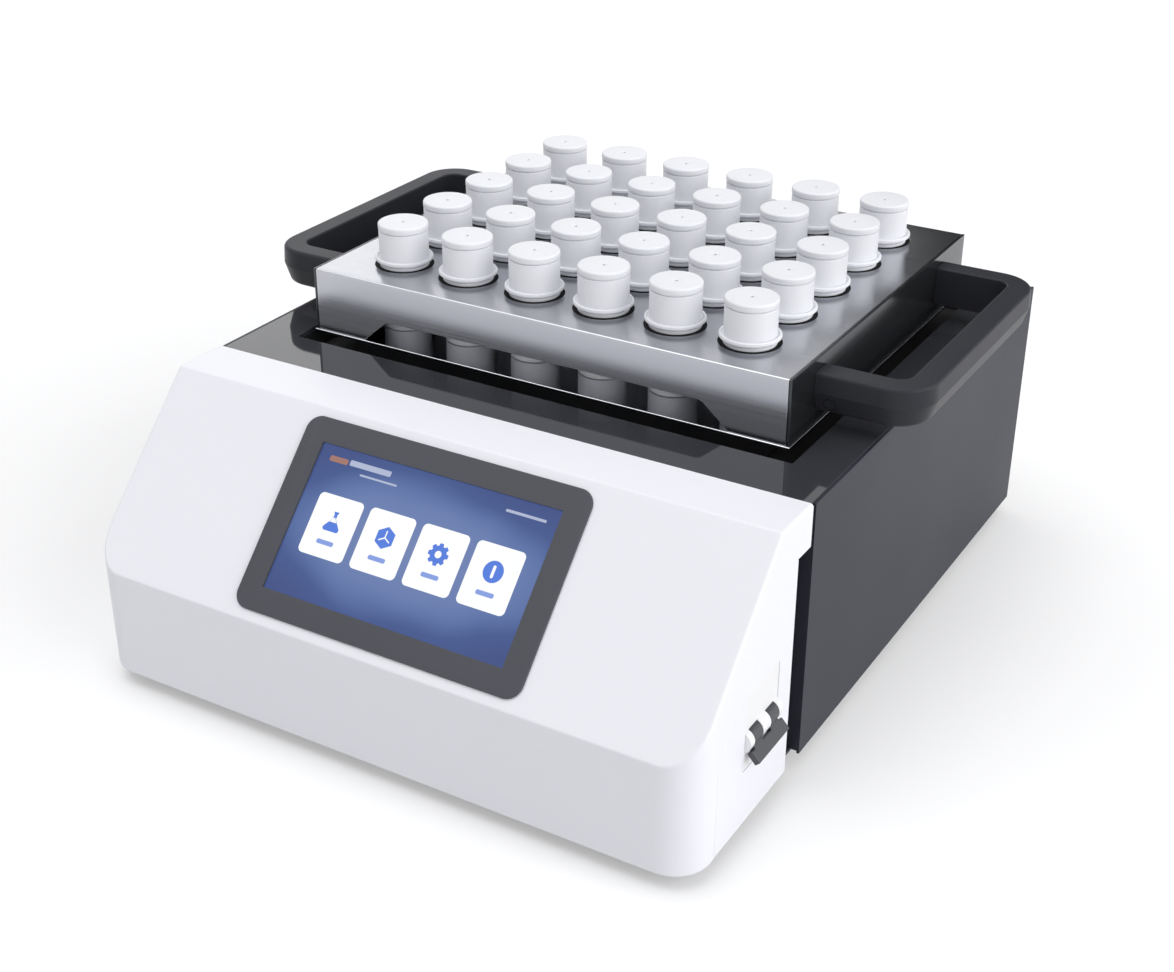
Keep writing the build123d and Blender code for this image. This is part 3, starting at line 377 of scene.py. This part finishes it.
def makeGlow(name, tone, strength=0.9):
    # lit screen shapes, with a faint cloud so that no shape is one flat value
    material, tree, shader = newMaterial(name)
    group = addGroup(tree, tintGroup)
    group.inputs["Tone A"].default_value = (*(channel * 0.96 for channel in tone), 1)
    group.inputs["Tone B"].default_value = (*tone, 1)
    group.inputs["Cloud Scale"].default_value = 60.0
    tree.links.new(group.outputs["Color"], shader.inputs["Emission Color"])
    shader.inputs["Emission Strength"].default_value = strength
    shader.inputs["Base Color"].default_value = (0.02, 0.02, 0.02, 1)
    shader.inputs["Roughness"].default_value = 0.2
    return material


paints["screenBlue"] = makeScreenPaint()
paints["cardWhite"] = makeGlow("cardWhite", (0.96, 0.97, 0.98), 1.0)
paints["iconBlue"] = makeGlow("iconBlue", (0.060, 0.190, 0.760))
paints["labelBlue"] = makeGlow("labelBlue", (0.230, 0.350, 0.800))
paints["headingOrange"] = makeGlow("headingOrange", (0.360, 0.160, 0.120))
paints["headingWhite"] = makeGlow("headingWhite", (0.440, 0.500, 0.680))
print("materials made:", len(paints))


nodePaints = {
    "base_pan": "darkSheet", "console_shell": "whiteEnamel", "console_cheek_left": "whiteEnamel",
    "console_cheek_right": "whiteEnamel", "display_bezel": "bezelGrey", "display_panel": "screenBlue",
    "control_board": "circuitGreen", "top_deck": "deckGloss", "side_panel_left": "darkSheet",
    "side_panel_right": "darkSheet", "rear_panel": "darkSheet", "well_tub": "blackLiner",
    "graphite_block": "graphite", "heater_plate": "castAluminium", "insulation": "felt",
    "temperature_probe": "plainSteel", "fan_frame": "blackPlastic", "fan_rotor": "blackPlastic",
    "breaker_case": "breakerWhite", "breaker_toggle": "togglePlastic", "mains_inlet": "blackPlastic",
    "feet": "footRubber", "housing_screws": "plainSteel", "rack_top": "brushedSteel",
    "rack_end_plates": "shadedEndSteel", "rack_lower_plate": "polishedSteel",
    "rack_handle_left": "handlePlastic", "rack_handle_right": "handlePlastic", "handle_screws": "plainSteel",
}


def paint(thing, name):
    thing.data.materials.clear()
    thing.data.materials.append(paints[name])


for nodeName, node in frame["nodes"].items():
    paint(node, nodePaints.get(nodeName, "vesselWhite"))
print("nodes painted")


# shapes shared by several pieces
def addPiece(name, mesh, paintName, body, sharpAngle=35.0):
    for polygon in mesh.polygons:
        polygon.use_smooth = True
    mesh.set_sharp_from_angle(angle=math.radians(sharpAngle))
    mesh.materials.clear()
    mesh.materials.append(paints[paintName])
    piece = bpy.data.objects.new(name, mesh)
    scene.collection.objects.link(piece)
    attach(piece, body)
    return piece


def roundCorners(points, radii, steps=6):
    # each corner of an open outline becomes an arc of its own radius
    rounded = []
    for index, point in enumerate(points):
        radius = radii[index]
        if radius <= 0 or index in (0, len(points) - 1):
            rounded.append(Vector(point))
            continue
        corner = Vector(point)
        before = (Vector(points[index - 1]) - corner).normalized()
        after = (Vector(points[index + 1]) - corner).normalized()
        half = before.angle(after) / 2
        reach = radius / math.tan(half)
        start = corner + before * reach
        end = corner + after * reach
        centre = corner + (before + after).normalized() * (radius / math.sin(half))
        turnFrom = start - centre
        turnTo = end - centre
        sweep = turnFrom.angle_signed(turnTo)
        for step in range(steps + 1):
            angle = -sweep * step / steps
            rotated = Vector((
                turnFrom.x * math.cos(angle) - turnFrom.y * math.sin(angle),
                turnFrom.x * math.sin(angle) + turnFrom.y * math.cos(angle),
            ))
            rounded.append(centre + rotated)
    return rounded


def latheMesh(name, outline, segments):
    # a closed solid of revolution from (radius, height) points that start and end on the axis
    mesh = bmesh.new()
    rings = []
    for point in outline:
        if point.x < 1e-7:
            rings.append([mesh.verts.new((0, 0, point.y))])
            continue
        rings.append([
            mesh.verts.new((
                point.x * math.cos(2 * math.pi * step / segments),
                point.x * math.sin(2 * math.pi * step / segments),
                point.y,
            ))
            for step in range(segments)
        ])
    for lower, upper in zip(rings, rings[1:]):
        for step in range(segments):
            following = (step + 1) % segments
            if len(lower) == 1:
                mesh.faces.new((lower[0], upper[step], upper[following]))
            elif len(upper) == 1:
                mesh.faces.new((lower[step], upper[0], lower[following]))
            else:
                mesh.faces.new((lower[step], upper[step], upper[following], lower[following]))
    bmesh.ops.recalc_face_normals(mesh, faces=mesh.faces)
    data = bpy.data.meshes.new(name)
    mesh.to_mesh(data)
    mesh.free()
    return data


# vessels: heights are above the rack's top
vessel = {
    "neck": 14.8, "body": 14.4, "foot": 13.5, "bore": 11.0, "floor": 4.0, "shoulderGap": 0.3,
    "flange": 17.35, "flangeUnder": 3.4, "rim": 2.0, "rimRound": 0.8, "bead": 16.2, "beadRise": 0.15,
    "grooveDepth": 0.9, "grooveWidth": 0.6, "neckTop": 21.6,
    "collar": 14.9, "collarTop": 1.45, "collarWaist": 13.6, "collarFoot": -1.0,
    "lid": 15.0, "lidGap": 0.6, "lidFoot": 0.6, "lidHeight": 3.9, "lidRound": 1.1,
    "plug": 10.7, "plugLength": 6.0, "seat": 14.1,
    "dish": 3.2, "dishDepth": 0.3, "vent": 1.0, "ventDepth": 3.0, "segments": 72,
}


def vesselMeshes():
    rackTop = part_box("rack_top")[1].z / mm
    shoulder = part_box("rack_lower_plate")[1].z / mm + vessel["shoulderGap"]
    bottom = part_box("vessel_r1_c6")[0].z / mm
    under = rackTop + vessel["flangeUnder"]
    rimTop = under + vessel["rim"]
    groove = rimTop - vessel["grooveDepth"]
    neckTop = rackTop + vessel["neckTop"]
    collarTop = rackTop + vessel["collarTop"]
    collarFoot = rackTop + vessel["collarFoot"]
    boreFloor = bottom + vessel["floor"]
    tube = [
        (0, bottom, 0), (vessel["foot"], bottom, 3.0), (vessel["foot"], shoulder, 0.2),
        (vessel["body"], shoulder, 0.4), (vessel["body"], collarFoot, 0.2),
        (vessel["collar"], collarFoot + 0.4, 0.2), (vessel["collar"], collarTop, 0.35),
        (vessel["collarWaist"], collarTop + 0.1, 0.1), (vessel["collarWaist"], under - 0.05, 0.1),
        (vessel["flange"], under, 0.35), (vessel["flange"], rimTop, vessel["rimRound"]),
        (vessel["bead"], rimTop + vessel["beadRise"], 0.3),
        (vessel["neck"] + vessel["grooveWidth"], groove, 0.15), (vessel["neck"], groove, 0.1),
        (vessel["neck"], neckTop, 0.5), (vessel["bore"], neckTop, 0.3),
        (vessel["bore"], boreFloor, 3.0), (0, boreFloor, 0),
    ]
    seat = neckTop + vessel["lidGap"]
    top = seat + vessel["lidHeight"]
    plugFoot = seat - vessel["plugLength"]
    ventFloor = top - vessel["ventDepth"]
    lid = [
        (0, plugFoot, 0), (vessel["plug"], plugFoot, 0.6), (vessel["plug"], neckTop + 0.1, 0.1),
        (vessel["seat"], neckTop + 0.1, 0.05), (vessel["seat"], seat, 0.1),
        (vessel["lid"], seat + 0.1, vessel["lidFoot"]), (vessel["lid"], top, vessel["lidRound"]),
        (vessel["dish"], top, 1.2), (vessel["vent"], top - vessel["dishDepth"], 0.1),
        (vessel["vent"], ventFloor, 0), (0, ventFloor, 0),
    ]
    meshes = []
    for name, outline in (("vesselTube", tube), ("vesselLid", lid)):
        points = [(radius * mm, height * mm) for radius, height, _ in outline]
        rounded = roundCorners(points, [corner * mm for _, _, corner in outline])
        meshes.append(latheMesh(name, rounded, vessel["segments"]))
    return meshes


# this vessel's lid is a node on a body of its own
separateLids = {"vessel_r1_c6": ("vessel_lid_front_right", "vessel_lid")}


def addVessels():
    tubeMesh, lidMesh = vesselMeshes()
    for name in [node for node in frame["nodes"] if node.startswith("vessel_r")]:
        low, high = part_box(name)
        centre = ((low.x + high.x) / 2, (low.y + high.y) / 2, 0)
        lidNode, lidBody = separateLids.get(name, (name, name))
        tube = addPiece(name + "_tube", tubeMesh, "vesselWhite", name)
        lid = addPiece(name + "_lid", lidMesh, "vesselWhite", lidBody)
        for piece in (tube, lid):
            piece.matrix_world = Matrix.Translation(centre)
        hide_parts(name)
        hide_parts(lidNode)


addVessels()
print("vessels made")


# black rings just under the rack's top face, filling the gap between each vessel and its hole: painted shade
# for the dark gap round the vessels
shadeRing = {"inner": 15.0, "outer": 17.7, "under": 0.08, "thickness": 0.5, "segments": 72}


def addShadeRings():
    mesh = bmesh.new()
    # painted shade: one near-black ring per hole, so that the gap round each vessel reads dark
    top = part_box("rack_top")[1].z - shadeRing["under"] * mm
    under = top - shadeRing["thickness"] * mm
    inner, outer = shadeRing["inner"] * mm, shadeRing["outer"] * mm
    turns = [2 * math.pi * step / shadeRing["segments"] for step in range(shadeRing["segments"])]
    for name in [node for node in frame["nodes"] if node.startswith("vessel_r")]:
        low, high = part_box(name)
        centre = Vector(((low.x + high.x) / 2, (low.y + high.y) / 2, 0))
        loops = []
        for radius, height in ((inner, top), (outer, top), (outer, under), (inner, under)):
            loops.append([
                mesh.verts.new(centre + Vector((radius * math.cos(turn), radius * math.sin(turn), height)))
                for turn in turns
            ])
        for index, loop in enumerate(loops):
            following = loops[(index + 1) % 4]
            for step in range(shadeRing["segments"]):
                after = (step + 1) % shadeRing["segments"]
                mesh.faces.new((loop[step], loop[after], following[after], following[step]))
    bmesh.ops.recalc_face_normals(mesh, faces=mesh.faces)
    data = bpy.data.meshes.new("holeShadeRings")
    mesh.to_mesh(data)
    mesh.free()
    addPiece("rack_hole_shade_rings", data, "shadeRingBlack", "rack")


addShadeRings()
print("hole rings made")


# softened edges: a node's own mesh with its sharp edges rounded a little, so that they catch the light
softEdges = {
    "rack_top": 0.42, "rack_lower_plate": 0.85, "rack_end_plates": 0.35, "top_deck": 0.5,
    "side_panel_left": 0.5, "side_panel_right": 0.5, "console_cheek_left": 0.3, "console_cheek_right": 0.3,
    "display_bezel": 0.3,
}
nodeSlots = {entry["node"]: entry["material_slot"] for entry in frame["record"]["subparts"]}


def softenEdges(nodeName, width):
    node = frame["nodes"][nodeName]
    mesh = bmesh.new()
    mesh.from_mesh(node.data)
    bmesh.ops.remove_doubles(mesh, verts=mesh.verts, dist=1e-6)
    bmesh.ops.dissolve_limit(mesh, angle_limit=math.radians(0.5), verts=mesh.verts, edges=mesh.edges)
    data = bpy.data.meshes.new(nodeName + "Soft")
    mesh.to_mesh(data)
    mesh.free()
    body, slotName = node["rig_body"], nodeSlots[nodeName]
    piece = addPiece(nodeName + "_soft", data, nodePaints[nodeName], body)
    bevel = piece.modifiers.new("edges", "BEVEL")
    bevel.width = width * mm
    bevel.segments = 2
    bevel.limit_method = "ANGLE"
    bevel.angle_limit = math.radians(35)
    bevel.use_clamp_overlap = True
    bevel.harden_normals = True
    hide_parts(nodeName)


for nodeName, width in softEdges.items():
    softenEdges(nodeName, width)
print("edges softened:", len(softEdges))


# what the screen shows: four cards with plain signs, and bars in the place of words
def screenPoint(u, v, lift):
    tilt = math.radians(screen["tilt"])
    along = Vector((0, math.cos(tilt), math.sin(tilt)))
    out = Vector((0, -math.sin(tilt), math.cos(tilt)))
    return Vector(screen["centre"]) + Vector((u * mm, 0, 0)) + along * v * mm + out * lift * mm


def addSheet(mesh, outline, lift, thickness):
    # a thin closed slab with the outline's shape, its face turned to the viewer
    upper = [mesh.verts.new(screenPoint(u, v, lift + thickness)) for u, v in outline]
    lower = [mesh.verts.new(screenPoint(u, v, lift)) for u, v in outline]
    mesh.faces.new(upper)
    mesh.faces.new(list(reversed(lower)))
    for index in range(len(outline)):
        after = (index + 1) % len(outline)
        mesh.faces.new((lower[index], lower[after], upper[after], upper[index]))


def roundedBox(centre, size, radius, steps=8):
    points = []
    for signU, signV, begin in ((1, 1, 0), (-1, 1, 90), (-1, -1, 180), (1, -1, 270)):
        cornerU = centre[0] + signU * (size[0] / 2 - radius)
        cornerV = centre[1] + signV * (size[1] / 2 - radius)
        for step in range(steps + 1):
            angle = math.radians(begin + 90 * step / steps)
            points.append((cornerU + radius * math.cos(angle), cornerV + radius * math.sin(angle)))
    return points


def ringPoints(centre, radius, count, turn=0.0):
    return [
        (centre[0] + radius * math.cos(turn + 2 * math.pi * step / count),
         centre[1] + radius * math.sin(turn + 2 * math.pi * step / count))
        for step in range(count)
    ]


def flaskPoints(centre):
    half = [(1.5, 5.6), (1.5, 4.7), (1.0, 4.4), (1.0, 1.6), (5.2, -3.6), (5.2, -4.8), (4.4, -5.6)]
    right = [(centre[0] + u, centre[1] + v) for u, v in half]
    left = [(centre[0] - u, centre[1] + v) for u, v in reversed(half)]
    return list(reversed(right + left))


def gearPoints(centre, teeth=8, inner=4.9, outer=6.3):
    points = []
    for tooth in range(teeth):
        middle = 2 * math.pi * tooth / teeth
        for turn, radius in ((-0.29, inner), (-0.17, outer), (0.17, outer), (0.29, inner)):
            angle = middle + turn
            points.append((centre[0] + radius * math.cos(angle), centre[1] + radius * math.sin(angle)))
    return points


def spokePoints(centre, angle, length, width):
    along = Vector((math.cos(angle), math.sin(angle)))
    across = Vector((-along.y, along.x)) * width / 2
    start, end = Vector(centre), Vector(centre) + along * length
    return [tuple(start - across), tuple(end - across), tuple(end + across), tuple(start + across)]


def addScreenPiece(name, outlines, lift, paintName):
    mesh = bmesh.new()
    for outline in outlines:
        addSheet(mesh, outline, lift, screen["sheet"])
    bmesh.ops.recalc_face_normals(mesh, faces=mesh.faces)
    data = bpy.data.meshes.new(name)
    mesh.to_mesh(data)
    mesh.free()
    addPiece(name, data, paintName, "housing", 30.0)


def addScreenPicture():
    places = screen["cardPlaces"]
    first, second, third, fourth = [(u, screen["iconV"]) for u in places]
    cards = [roundedBox((u, screen["cardV"]), screen["cardSize"], screen["cardRadius"]) for u in places]
    labels = [roundedBox((u, screen["labelV"]), screen["labelSize"], screen["labelRadius"]) for u in places]
    hexagon = ringPoints(second, 6.3, 6, math.pi / 2)
    disc = ringPoints(fourth, 6.0, 48)
    icons = [flaskPoints(first), hexagon, gearPoints(third), disc]
    marks = [
        [(first[0], 2.6 + first[1]), (first[0] - 2.3, -0.4 + first[1]), (first[0] + 2.3, -0.4 + first[1])],
        *(spokePoints(second, math.pi / 2 + turn * 2 * math.pi / 3, 4.0, 0.7) for turn in range(3)),
        ringPoints(third, 2.0, 32), roundedBox(fourth, (1.7, 7.0), 0.8),
    ]
    addScreenPiece("screen_cards", cards, screen["cardLift"], "cardWhite")
    addScreenPiece("screen_icons", icons, screen["iconLift"], "iconBlue")
    addScreenPiece("screen_labels", labels, screen["iconLift"], "labelBlue")
    addScreenPiece("screen_marks", marks, screen["markLift"], "cardWhite")
    heading = [roundedBox(*screen["heading"])]
    bars = [roundedBox(*bar) for bar in screen["bars"]]
    addScreenPiece("screen_heading", heading, screen["cardLift"], "headingOrange")
    addScreenPiece("screen_bars", bars, screen["cardLift"], "headingWhite")


addScreenPicture()
print("screen picture made")


# studio: pale floor, pale sky, a broad lamp overhead and a low one from the right; a dark and a bright
# card far behind show only in mirror rays
studio = {
    "skyLight": 0.467,
    "skyTone": (0.985, 0.99, 1.0),
    "overheadStrength": 1.20,
    "overheadDirection": (-0.18, -0.10, 0.95),
    "overheadSpread": 50.0,
    "sideStrength": 2.66,
    "sideDirection": (0.98, 0.04, 0.17),
    "sideSpread": 84.0,
    "floorTone": (0.68, 0.68, 0.6868),
    "floorLift": 0.33,
    "floorSize": 8.0,
    "darkCard": {"low": (-0.47, 1.60, 0.20), "high": (1.10, 1.60, 1.60), "tone": 0.02, "glow": 0.0},
    "brightCard": {"low": (-2.10, 1.60, 0.80), "high": (-1.30, 1.60, 1.35), "tone": 0.5, "glow": 1.5},
}


def seenRay(tree):
    # 1 for rays that show a background: the camera's, mirror and glass rays
    path = addNode(tree, "ShaderNodeLightPath")
    first = addNode(tree, "ShaderNodeMath", operation="MAXIMUM")
    second = addNode(tree, "ShaderNodeMath", operation="MAXIMUM")
    tree.links.new(path.outputs["Is Camera Ray"], first.inputs[0])
    tree.links.new(path.outputs["Is Glossy Ray"], first.inputs[1])
    tree.links.new(first.outputs["Value"], second.inputs[0])
    tree.links.new(path.outputs["Is Transmission Ray"], second.inputs[1])
    return second.outputs["Value"]


def addSky():
    world = bpy.data.worlds.new("sky")
    scene.world = world
    world.use_nodes = True
    tree = world.node_tree
    background = tree.nodes["Background"]
    background.inputs["Color"].default_value = (*studio["skyTone"], 1)
    level = addNode(tree, "ShaderNodeMapRange")
    level.inputs["To Min"].default_value = studio["skyLight"]
    level.inputs["To Max"].default_value = 1.0
    tree.links.new(seenRay(tree), level.inputs["Value"])
    tree.links.new(level.outputs["Result"], background.inputs["Strength"])


def addLamp(name):
    data = bpy.data.lights.new(name, "SUN")
    data.energy = studio[name + "Strength"]
    data.angle = math.radians(studio[name + "Spread"])
    lamp = bpy.data.objects.new(name, data)
    lamp.rotation_euler = Vector(studio[name + "Direction"]).to_track_quat("Z", "Y").to_euler()
    scene.collection.objects.link(lamp)


def addFloor():
    half = studio["floorSize"] / 2
    corners = [(-half, -half, 0), (half, -half, 0), (half, half, 0), (-half, half, 0)]
    mesh = bpy.data.meshes.new("floor")
    mesh.from_pydata(corners, [], [(0, 1, 2, 3)])
    floor = bpy.data.objects.new("floor", mesh)
    scene.collection.objects.link(floor)
    material, tree, shader = newMaterial("floorPaint")
    shader.inputs["Base Color"].default_value = (*studio["floorTone"], 1)
    shader.inputs["Roughness"].default_value = 0.9
    shader.inputs["Specular IOR Level"].default_value = 0.0
    shader.inputs["Emission Color"].default_value = (1, 1, 1, 1)
    lift = addNode(tree, "ShaderNodeMath", operation="MULTIPLY")
    lift.inputs[1].default_value = studio["floorLift"]
    tree.links.new(seenRay(tree), lift.inputs[0])
    tree.links.new(lift.outputs["Value"], shader.inputs["Emission Strength"])
    mesh.materials.append(material)


def addCard(name):
    card = studio[name]
    (left, depth, under), (right, _, top) = card["low"], card["high"]
    corners = [(left, depth, under), (right, depth, under), (right, depth, top), (left, depth, top)]
    mesh = bpy.data.meshes.new(name)
    mesh.from_pydata(corners, [], [(0, 1, 2, 3)])
    sheet = bpy.data.objects.new(name, mesh)
    scene.collection.objects.link(sheet)
    material, _, shader = newMaterial(name + "Paint")
    shader.inputs["Base Color"].default_value = (card["tone"], card["tone"], card["tone"], 1)
    shader.inputs["Roughness"].default_value = 0.9
    shader.inputs["Emission Color"].default_value = (1, 1, 1, 1)
    shader.inputs["Emission Strength"].default_value = card["glow"]
    mesh.materials.append(material)
    sheet.visible_camera = False
    sheet.visible_diffuse = False
    sheet.visible_shadow = False


addSky()
addLamp("overhead")
addLamp("side")
addFloor()
addCard("darkCard")
addCard("brightCard")
print("studio set")
